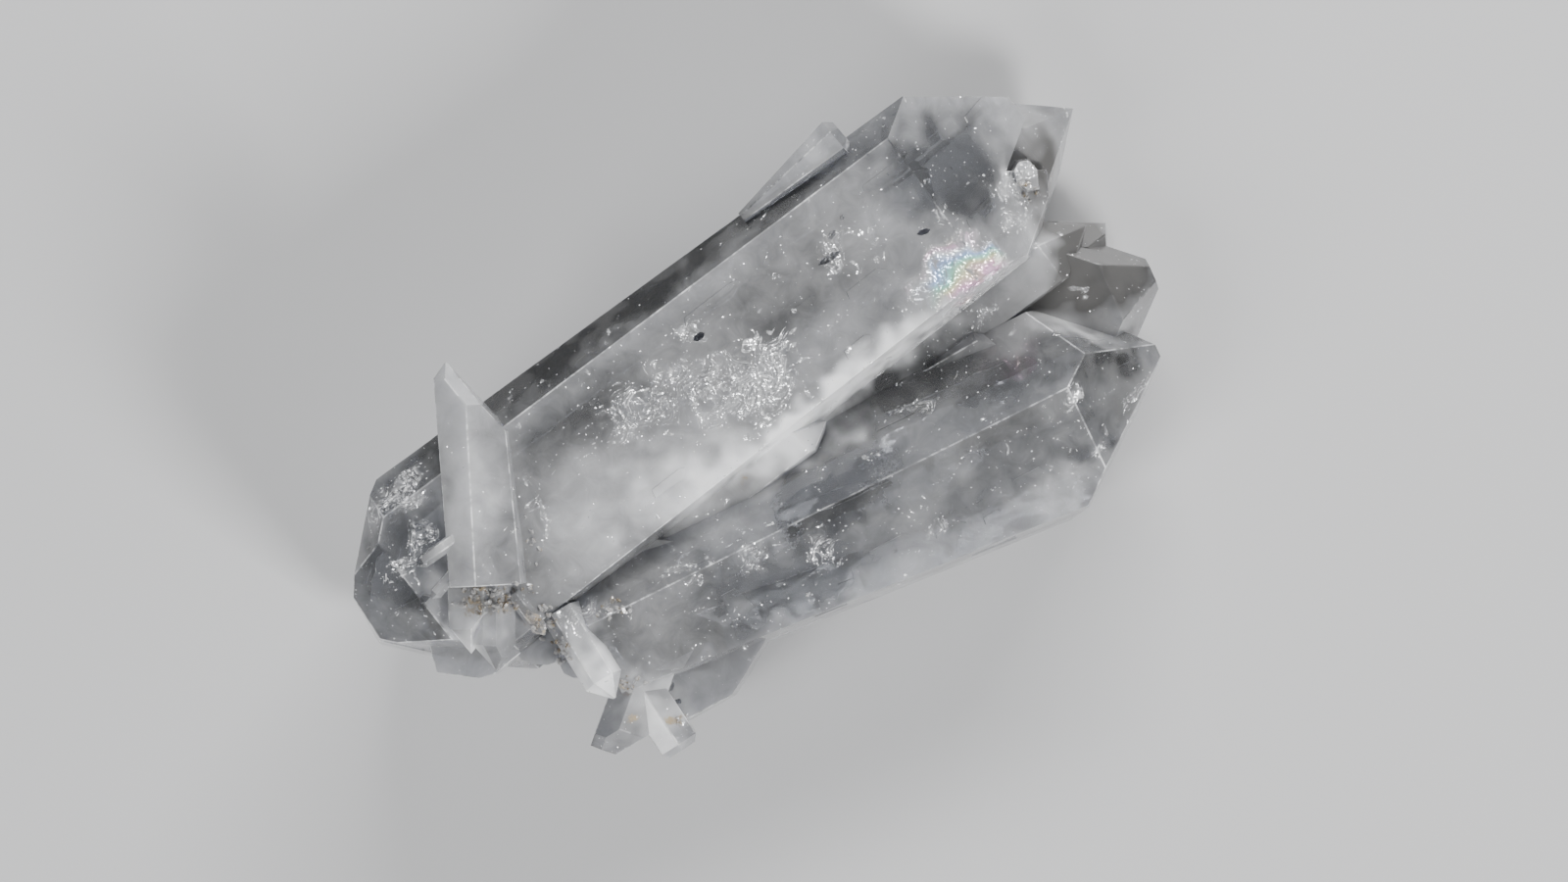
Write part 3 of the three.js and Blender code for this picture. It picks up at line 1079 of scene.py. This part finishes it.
def grain_object():
    """A tiny stubby crystal, one metre across its longest side, to be scaled by the scatter."""
    bm = bmesh.new()
    bmesh.ops.create_cone(bm, segments=6, radius1=0.32, radius2=0.32, depth=0.7, cap_ends=True)
    top = [f for f in bm.faces if f.normal.z > 0.9]
    bmesh.ops.poke(bm, faces=top, offset=0.3)
    return mesh_object("grain", bm)


def scatter_tree(material, grain):
    """Geometry nodes that strew turned and scaled copies of grain over the faces of a mesh."""
    tree = bpy.data.node_groups.new("crust_scatter", "GeometryNodeTree")
    sockets = (("Geometry", "Geometry"), ("Density", "Float"), ("Grain size", "Float"), ("Seed", "Int"))
    for name, kind in sockets:
        tree.interface.new_socket(name, in_out="INPUT", socket_type="NodeSocket" + kind)
    tree.interface.new_socket("Geometry", in_out="OUTPUT", socket_type="NodeSocketGeometry")

    def node(kind, settings=None, inputs=None):
        made = tree.nodes.new(kind)
        for name, value in (settings or {}).items():
            setattr(made, name, value)
        for key, value in (inputs or {}).items():
            if isinstance(value, bpy.types.NodeSocket):
                tree.links.new(value, made.inputs[key])
            else:
                made.inputs[key].default_value = value
        return made

    given = node("NodeGroupInput")
    named = node("GeometryNodeInputNamedAttribute", {"data_type": "FLOAT"}, {"Name": "density"})
    inputs = {0: named.outputs[0], 1: given.outputs["Density"]}
    density = node("ShaderNodeMath", {"operation": "MULTIPLY"}, inputs)
    points = node(
        "GeometryNodeDistributePointsOnFaces",
        {"distribute_method": "RANDOM"},
        {"Mesh": given.outputs["Geometry"], "Density": density.outputs[0], "Seed": given.outputs["Seed"]},
    )
    inputs = {2: 0.4, 3: 2.0, "Seed": given.outputs["Seed"]}
    size = node("FunctionNodeRandomValue", {"data_type": "FLOAT"}, inputs)
    inputs = {0: size.outputs[1], 1: given.outputs["Grain size"]}
    scale = node("ShaderNodeMath", {"operation": "MULTIPLY"}, inputs)
    tilt = node(
        "FunctionNodeRandomValue",
        {"data_type": "FLOAT_VECTOR"},
        {0: (-1.1, -1.1, -3.1), 1: (1.1, 1.1, 3.1), "Seed": given.outputs["Seed"]},
    )
    turned = node(
        "FunctionNodeRotateRotation",
        {"rotation_space": "LOCAL"},
        {"Rotation": points.outputs["Rotation"], "Rotate By": tilt.outputs[0]},
    )
    shape = node("GeometryNodeObjectInfo", None, {"Object": grain})
    strewn = node(
        "GeometryNodeInstanceOnPoints",
        None,
        {
            "Points": points.outputs["Points"],
            "Instance": shape.outputs["Geometry"],
            "Rotation": turned.outputs[0],
            "Scale": scale.outputs[0],
        },
    )
    real = node("GeometryNodeRealizeInstances", None, {"Geometry": strewn.outputs[0]})
    dressed = node("GeometryNodeSetMaterial", None, {"Geometry": real.outputs[0], "Material": material})
    node("NodeGroupOutput", None, {"Geometry": dressed.outputs[0]})
    return tree


def set_input(modifier, tree, name, value):
    """Set a geometry nodes modifier's input by the name of its socket."""
    for item in tree.interface.items_tree:
        if item.item_type == "SOCKET" and item.in_out == "INPUT" and item.name == name:
            modifier[item.identifier] = value


def crust_material(group):
    """White and clear grains with some stained golden brown."""
    m = Material("crust")
    stained = m.between(m.noise(1.6, detail=3, roughness=0.7), 0.50, 0.60)
    light = m.mix_colour(m.noise(0.9), (0.45, 0.45, 0.45), (0.85, 0.84, 0.82))
    brown = m.mix_colour(m.noise(0.5), tuple(group.grain_colour), (0.22, 0.14, 0.06))
    shader = principled(
        m,
        {
            "Base Color": m.mix_colour(stained * 0.8, light, brown),
            "Roughness": 0.15,
            "Transmission Weight": 0.6,
        },
    )
    return m.finish(shader)


class QUARTZ_OT_crust(bpy.types.Operator):
    """Strew tiny crystals and stained grains where the crystals meet"""

    bl_idname = "quartz.crust"
    bl_label = "Crust"

    def execute(self, context):
        group = settings(context, "quartz_crust")
        bm = bmesh.new()
        crust_patches(bm)
        obj = mesh_object("crust", bm)
        material = crust_material(group)
        grain = grain_object()
        tree = scatter_tree(material, grain)
        modifier = obj.modifiers.new("crust", "NODES")
        modifier.node_group = tree
        set_input(modifier, tree, "Density", group.density / (MM * MM))
        set_input(modifier, tree, "Grain size", group.grain)
        set_input(modifier, tree, "Seed", SCATTER_SEED)
        mesh = evaluated_mesh(obj, "crust")
        if not mesh.polygons:
            raise RuntimeError("the scatter made no grains")
        obj.modifiers.remove(modifier)
        obj.data = mesh
        bpy.data.objects.remove(grain)
        if material.name not in mesh.materials:
            mesh.materials.append(material)
        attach(obj, "root")
        return {"FINISHED"}


# The spot that the camera looks down on, in millimetres, and how high it hangs, in metres.
VIEW_MIDDLE = (3.75, -2.27)
VIEW_HEIGHT = 1.02


def area_light(name, place, aim, size, power):
    """A white rectangular light at place that shines towards aim."""
    data = bpy.data.lights.new(name, "AREA")
    data.shape = "RECTANGLE"
    data.size, data.size_y = size
    data.energy = power
    obj = bpy.data.objects.new(name, data)
    bpy.context.scene.collection.objects.link(obj)
    obj.location = place
    obj.rotation_euler = (Vector(aim) - Vector(place)).to_track_quat("-Z", "Y").to_euler()
    return obj


class QUARTZ_OT_stage(bpy.types.Operator):
    """Lay the floor and set the lights and the camera, which looks straight down"""

    bl_idname = "quartz.stage"
    bl_label = "Stage"

    def execute(self, context):
        group = settings(context, "quartz_stage")
        bm = bmesh.new()
        bmesh.ops.create_grid(bm, x_segments=1, y_segments=1, size=2.0)
        floor = mesh_object("floor", bm)
        m = Material("floor")
        shader = m.node(
            "ShaderNodeBsdfPrincipled",
            None,
            {"Base Color": (*group.floor_colour, 1.0), "Roughness": 0.6},
        )
        floor.data.materials.append(m.finish(shader.outputs[0]))
        power = group.key_power
        lights = [
            area_light("key", (0.75, -0.7, 0.65), (0, 0, 0.01), (0.35, 0.35), power),
            area_light("fill", (-0.6, -0.5, 0.6), (0, 0, 0.02), (0.3, 0.5), power * 0.3),
            area_light("rim", (0.15, 0.8, 0.45), (0, 0, 0.02), (0.7, 0.2), power * 0.7),
        ]
        world = bpy.data.worlds.new("studio")
        world.use_nodes = True
        world.node_tree.nodes["Background"].inputs["Color"].default_value = (0.9, 0.95, 1.0, 1.0)
        world.node_tree.nodes["Background"].inputs["Strength"].default_value = 0.12
        context.scene.world = world
        camera_data = bpy.data.cameras.new("camera")
        camera_data.lens = group.lens
        camera_data.sensor_width = 36.0
        camera_data.clip_start = 0.01
        camera = bpy.data.objects.new("camera", camera_data)
        context.scene.collection.objects.link(camera)
        camera.location = (VIEW_MIDDLE[0] * MM, VIEW_MIDDLE[1] * MM, VIEW_HEIGHT)
        context.scene.camera = camera
        return {"FINISHED"}


class QUARTZ_PT_panel(bpy.types.Panel):
    """Lists the steps that build the cluster"""

    bl_label = "Quartz Cluster"
    bl_idname = "QUARTZ_PT_panel"
    bl_space_type = "VIEW_3D"
    bl_region_type = "UI"
    bl_category = "Quartz"

    def draw(self, context):
        for operator in STEPS:
            self.layout.operator(operator.bl_idname)


STEPS = (QUARTZ_OT_crystals, QUARTZ_OT_veils, QUARTZ_OT_crust, QUARTZ_OT_stage)
GROUPS = {
    "quartz_crystals": QuartzCrystalSettings,
    "quartz_inside": QuartzInsideSettings,
    "quartz_crust": QuartzCrustSettings,
    "quartz_stage": QuartzStageSettings,
}


def register():
    for name, group in GROUPS.items():
        bpy.utils.register_class(group)
        setattr(bpy.types.Scene, name, PointerProperty(type=group))
    for cls in (*STEPS, QUARTZ_PT_panel):
        bpy.utils.register_class(cls)


def unregister():
    for cls in reversed((*STEPS, QUARTZ_PT_panel)):
        bpy.utils.unregister_class(cls)
    for name, group in reversed(list(GROUPS.items())):
        delattr(bpy.types.Scene, name)
        bpy.utils.unregister_class(group)


def main():
    register()
    bpy.ops.quartz.crystals()
    bpy.ops.quartz.veils()
    bpy.ops.quartz.crust()
    bpy.ops.quartz.stage()


if __name__ == "__main__":
    main()
